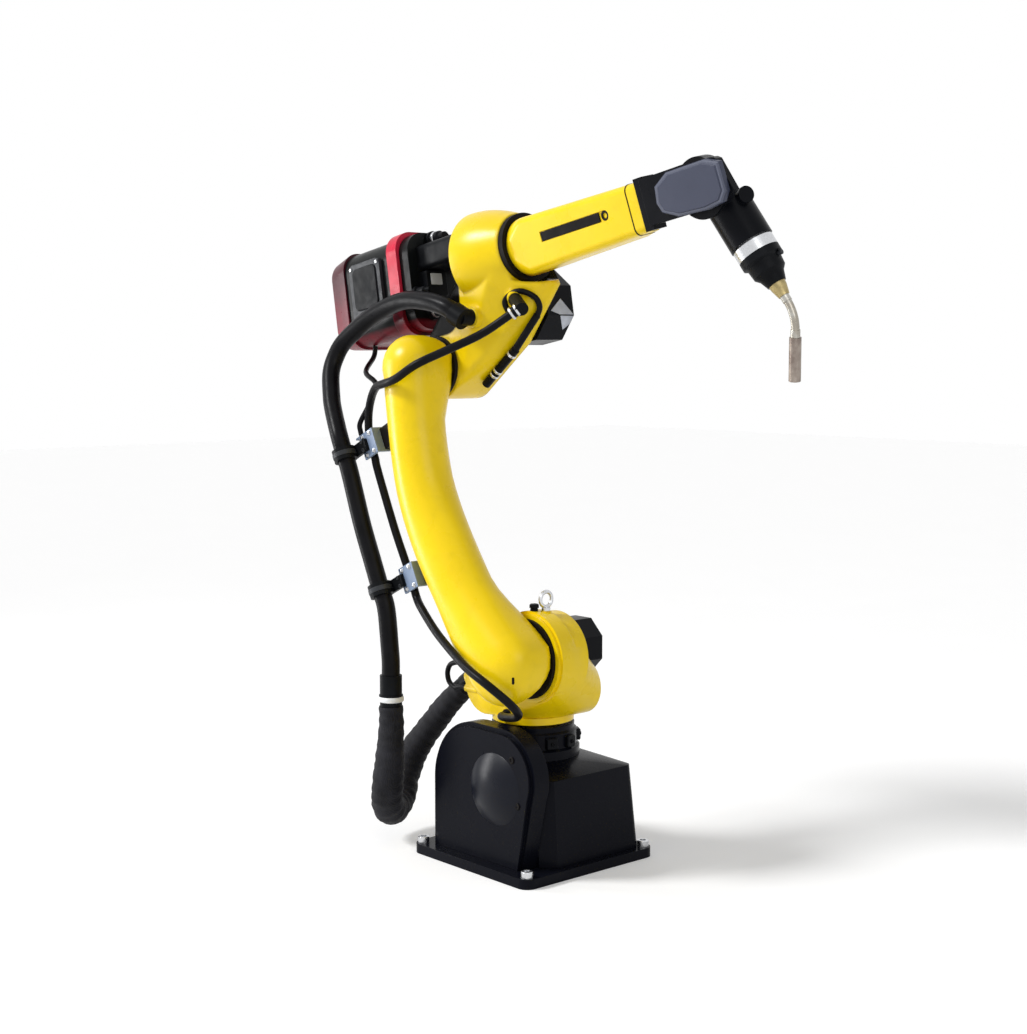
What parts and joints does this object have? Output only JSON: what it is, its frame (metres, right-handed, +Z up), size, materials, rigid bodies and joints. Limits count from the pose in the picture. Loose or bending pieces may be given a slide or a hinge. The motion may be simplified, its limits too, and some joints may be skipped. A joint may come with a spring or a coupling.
{
  "type": "six-axis welding robot",
  "caption": "Articulated welding robot with a bolted base, a leaning lower arm, a hollow-wrist forearm, a wire feeder on the elbow, a hose pack and a bent torch.",
  "frame": {"origin": "centre of the base plate's underside, on the waist axis", "axes": "+X is the way the arm reaches, +Y is to the robot's left, +Z is up"},
  "size_m": [1.2482, 0.4229, 1.3869],
  "materials": {
    "yellow_paint": "gloss enamel",
    "black_paint": "satin enamel",
    "joint_black": "matte",
    "bright_steel": "bright",
    "slate_paint": "satin",
    "blue_grey_paint": "satin",
    "black_plastic": "satin",
    "red_plastic": "gloss",
    "hose_rubber": "satin",
    "cone_brass": "worn",
    "nozzle_steel": "heat stained"
  },
  "bodies": {
    "base": {"base_plate": "black_paint", "base_casting": "black_paint", "base_side_housing": "black_paint", "waist_collar": "black_paint"},
    "turret": {"turret_casting": "yellow_paint", "shoulder_motor": "black_paint", "lifting_eye": "bright_steel", "hose_saddle": "black_plastic", "cable_gland": "black_plastic", "loop_lead": "hose_rubber"},
    "lower_arm": {"shoulder_ring": "joint_black", "lower_arm_casting": "yellow_paint", "elbow_ring": "joint_black", "hose_brackets": "blue_grey_paint", "hose_clamps": "black_plastic", "bracket_pads": "joint_black", "hose_arm_run": "hose_rubber", "hose_coupler": "black_plastic", "cable_arm_run": "hose_rubber", "hose_loop": "hose_rubber", "cable_turret_run": "hose_rubber"},
    "elbow": {"elbow_casting": "yellow_paint", "elbow_motor": "black_paint", "hose_socket": "black_plastic", "cable_connector": "black_plastic", "elbow_conduit": "black_plastic", "feeder_body": "black_plastic", "feeder_end_shell": "red_plastic", "feeder_band": "red_plastic", "feeder_side_cover": "black_plastic", "feeder_bracket": "black_plastic", "hose_elbow_run": "hose_rubber", "cable_elbow_run": "hose_rubber", "feeder_lead": "hose_rubber"},
    "forearm": {"forearm_ring": "joint_black", "forearm_casting": "yellow_paint", "wrist_arm": "black_paint", "wrist_cover": "slate_paint"},
    "wrist": {"wrist_body": "black_paint"},
    "tool": {"tool_ring": "bright_steel", "torch_socket": "black_plastic", "torch_cone": "cone_brass", "torch_neck": "bright_steel", "torch_nozzle": "nozzle_steel"}
  },
  "joints": [
    {"name": "waist", "type": "hinge", "parent": "base", "child": "turret", "pos_m": [0, 0, 0.28], "axis": [0, 0, 1], "range_deg": [-170, 170]},
    {"name": "shoulder", "type": "hinge", "parent": "turret", "child": "lower_arm", "pos_m": [0.075, 0, 0.43], "axis": [0, 1, 0], "range_deg": [-64, 116], "deforming": ["hose_loop", "cable_turret_run"]},
    {"name": "elbow", "type": "hinge", "parent": "lower_arm", "child": "elbow", "pos_m": [-0.20556, 0, 1.00523], "axis": [0, -1, 0], "range_deg": [-60, 110], "deforming": ["hose_elbow_run", "cable_elbow_run", "feeder_lead"]},
    {"name": "forearm_roll", "type": "hinge", "parent": "elbow", "child": "forearm", "pos_m": [-0.24133, 0, 1.2081], "axis": [0.9848, 0, 0.1736], "range_deg": [-202, 178]},
    {"name": "wrist_bend", "type": "hinge", "parent": "forearm", "child": "wrist", "pos_m": [0.48743, 0, 1.3366], "axis": [0.0361, -0.9781, -0.2048], "range_deg": [-51, 189]},
    {"name": "tool_turn", "type": "hinge", "parent": "wrist", "child": "tool", "pos_m": [0.48743, 0, 1.3366], "axis": [0.5115, 0.1941, -0.8371], "range_deg": [-210, 210]}
  ]
}
